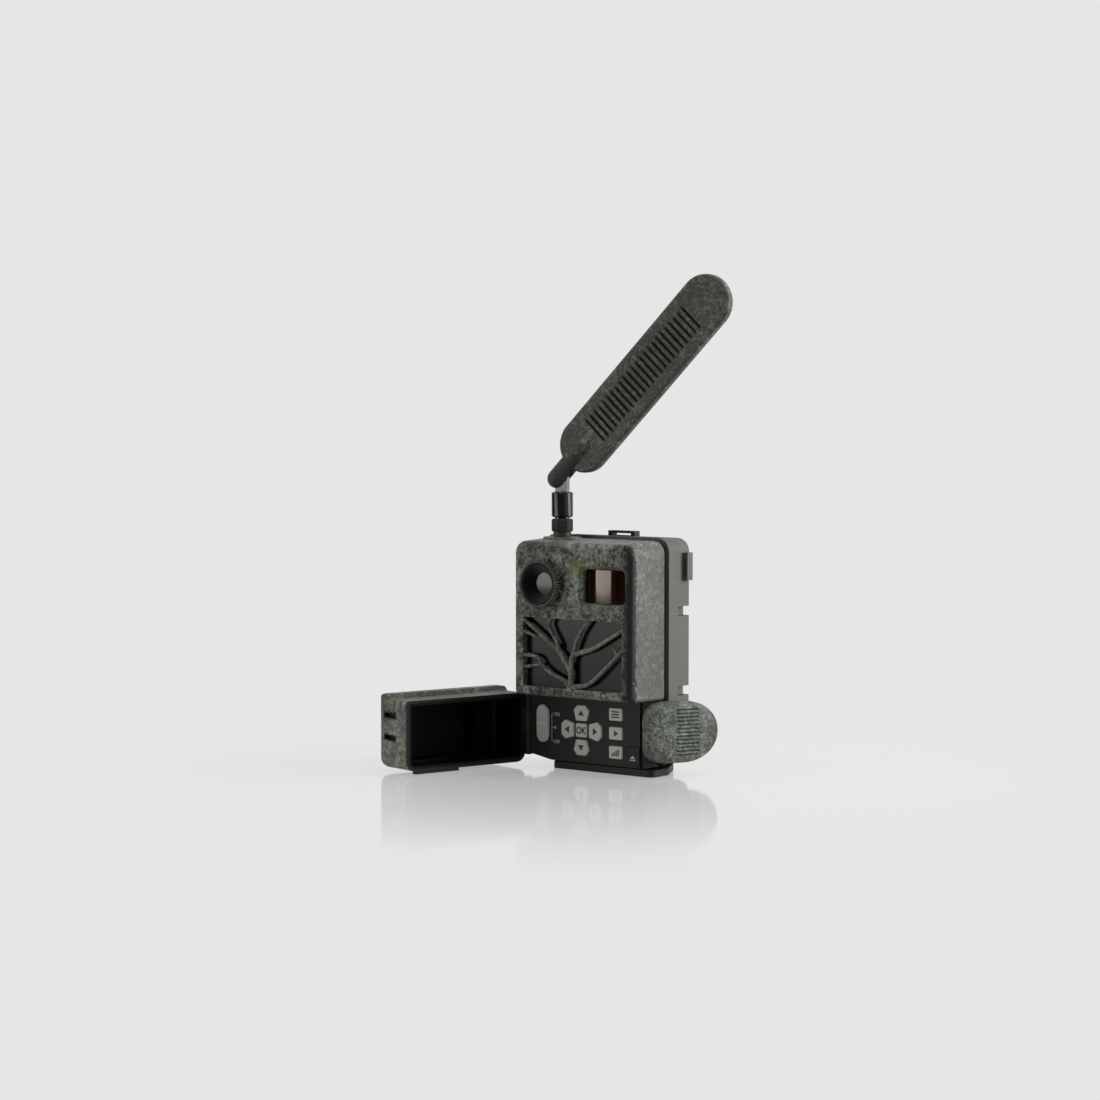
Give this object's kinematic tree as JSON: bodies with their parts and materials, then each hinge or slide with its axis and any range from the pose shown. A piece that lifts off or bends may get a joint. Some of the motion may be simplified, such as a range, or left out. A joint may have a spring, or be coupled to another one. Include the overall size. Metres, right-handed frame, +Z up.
{
  "type": "trail camera",
  "caption": "Weatherproof trail camera with a branch-shaped lamp grille, open side door over a keypad, toggle latch, drop-out battery tray and swivelling blade antenna.",
  "frame": {"origin": "on the floor, on the underside of the battery tray's base plate, below the middle of the body", "axes": "+Z up, +Y towards the back that rests on a tree or post, so the lens looks along -Y; +X to the latch side"},
  "size_m": [0.1785, 0.1163, 0.2787],
  "materials": {
    "camo_plastic": "textured",
    "shell_plastic": "satin",
    "black_plastic": "satin",
    "panel_plastic": "matte",
    "seal_rubber": "matte",
    "key_plastic": "matte",
    "lens_glass": "polished",
    "sensor_lens": "gloss",
    "lamp_pane": "gloss",
    "board": "satin",
    "steel": "satin",
    "dark_metal": "satin",
    "brass": "satin",
    "light_pipe": "clear",
    "cell_jacket": "satin"
  },
  "bodies": {
    "body": {"rear_shell": "shell_plastic", "front_cover": "camo_plastic", "seam_gasket": "seal_rubber", "lens_hood": "black_plastic", "lens_glass": "lens_glass", "lens_barrel": "black_plastic", "pir_lens": "sensor_lens", "pir_sensor": "steel", "status_light": "light_pipe", "ir_window": "lamp_pane", "front_board": "board", "main_board": "board", "tripod_insert": "brass", "body_screw_1": "steel", "body_screw_2": "steel", "body_screw_3": "steel", "body_screw_4": "steel", "control_panel": "panel_plastic", "key_board": "board", "door_hinge_pin": "steel", "contact_board": "board", "latch_post_pin": "steel", "antenna_socket": "dark_metal"},
    "door": {"door_shell": "camo_plastic", "door_liner": "black_plastic", "door_gasket": "seal_rubber"},
    "latch_link": {"latch_link": "steel"},
    "latch_lever": {"latch_lever": "camo_plastic", "latch_lever_pin": "steel"},
    "antenna_nut": {"antenna_nut": "dark_metal"},
    "antenna_mast": {"antenna_mast": "black_plastic", "antenna_tongue": "steel", "antenna_pin": "steel"},
    "antenna_blade": {"antenna_stem": "camo_plastic", "antenna_front_half": "camo_plastic", "antenna_back_half": "camo_plastic"},
    "switch": {"switch_cap": "key_plastic"},
    "tray": {"battery_tray": "black_plastic", "battery_1": "cell_jacket", "battery_2": "cell_jacket", "battery_3": "cell_jacket", "battery_4": "cell_jacket", "battery_5": "cell_jacket", "battery_6": "cell_jacket", "battery_7": "cell_jacket", "battery_8": "cell_jacket"},
    "key_up": {"key_up": "key_plastic"},
    "key_down": {"key_down": "key_plastic"},
    "key_left": {"key_left": "key_plastic"},
    "key_right": {"key_right": "key_plastic"},
    "key_ok": {"key_ok": "key_plastic"},
    "key_menu": {"key_menu": "key_plastic"},
    "key_play": {"key_play": "key_plastic"},
    "key_test": {"key_test": "key_plastic"},
    "eject_button": {"eject_button": "panel_plastic"}
  },
  "joints": [
    {"name": "door_hinge", "type": "hinge", "parent": "body", "child": "door", "pos_m": [-0.0444, -0.0086, 0.0255], "axis": [0, 0, 1], "range_deg": [0, 105.5]},
    {"name": "latch_link_hinge", "type": "hinge", "parent": "body", "child": "latch_link", "pos_m": [0.0409, -0.00287, 0.0263], "axis": [0, 0, -1], "range_deg": [0, 135.93]},
    {"name": "latch_lever_hinge", "type": "hinge", "parent": "latch_link", "child": "latch_lever", "pos_m": [0.05114, 0.00828, 0.0263], "axis": [0, 0, 1], "range_deg": [-1, 162.93]},
    {"name": "antenna_nut_spin", "type": "hinge", "parent": "body", "child": "antenna_nut", "pos_m": [-0.0227, -0.005, 0.1384], "axis": [0, 0, 1], "continuous": true},
    {"name": "antenna_swivel", "type": "hinge", "parent": "body", "child": "antenna_mast", "pos_m": [-0.0227, -0.005, 0.1497], "axis": [0, 0, 1], "range_deg": [-170, 170]},
    {"name": "antenna_tilt", "type": "hinge", "parent": "antenna_mast", "child": "antenna_blade", "pos_m": [-0.0227, -0.005, 0.1684], "axis": [-0.1323, 0.9912, 0], "range_deg": [-43.9, 46.1]},
    {"name": "switch_slide", "type": "slide", "parent": "body", "child": "switch", "axis": [0, 0, 1], "range_m": [-0.003, 0.003]},
    {"name": "tray_slide", "type": "slide", "parent": "body", "child": "tray", "axis": [0, 0, -1], "range_m": [0, 0.058]},
    {"name": "key_up_press", "type": "slide", "parent": "body", "child": "key_up", "axis": [0, 1, 0], "range_m": [0, 0.0007], "stiffness_N_per_m": 300, "springref_m": -0.001},
    {"name": "key_down_press", "type": "slide", "parent": "body", "child": "key_down", "axis": [0, 1, 0], "range_m": [0, 0.0007], "stiffness_N_per_m": 300, "springref_m": -0.001},
    {"name": "key_left_press", "type": "slide", "parent": "body", "child": "key_left", "axis": [0, 1, 0], "range_m": [0, 0.0007], "stiffness_N_per_m": 300, "springref_m": -0.001},
    {"name": "key_right_press", "type": "slide", "parent": "body", "child": "key_right", "axis": [0, 1, 0], "range_m": [0, 0.0007], "stiffness_N_per_m": 300, "springref_m": -0.001},
    {"name": "key_ok_press", "type": "slide", "parent": "body", "child": "key_ok", "axis": [0, 1, 0], "range_m": [0, 0.0007], "stiffness_N_per_m": 300, "springref_m": -0.001},
    {"name": "key_menu_press", "type": "slide", "parent": "body", "child": "key_menu", "axis": [0, 1, 0], "range_m": [0, 0.0007], "stiffness_N_per_m": 300, "springref_m": -0.001},
    {"name": "key_play_press", "type": "slide", "parent": "body", "child": "key_play", "axis": [0, 1, 0], "range_m": [0, 0.0007], "stiffness_N_per_m": 300, "springref_m": -0.001},
    {"name": "key_test_press", "type": "slide", "parent": "body", "child": "key_test", "axis": [0, 1, 0], "range_m": [0, 0.0007], "stiffness_N_per_m": 300, "springref_m": -0.001},
    {"name": "eject_button_press", "type": "slide", "parent": "body", "child": "eject_button", "axis": [0, 1, 0], "range_m": [0, 0.0007], "stiffness_N_per_m": 300, "springref_m": -0.001}
  ],
  "couplings": [
    {"joint": "latch_lever_hinge", "follows": "latch_link_hinge", "ratio": 1.1913}
  ]
}
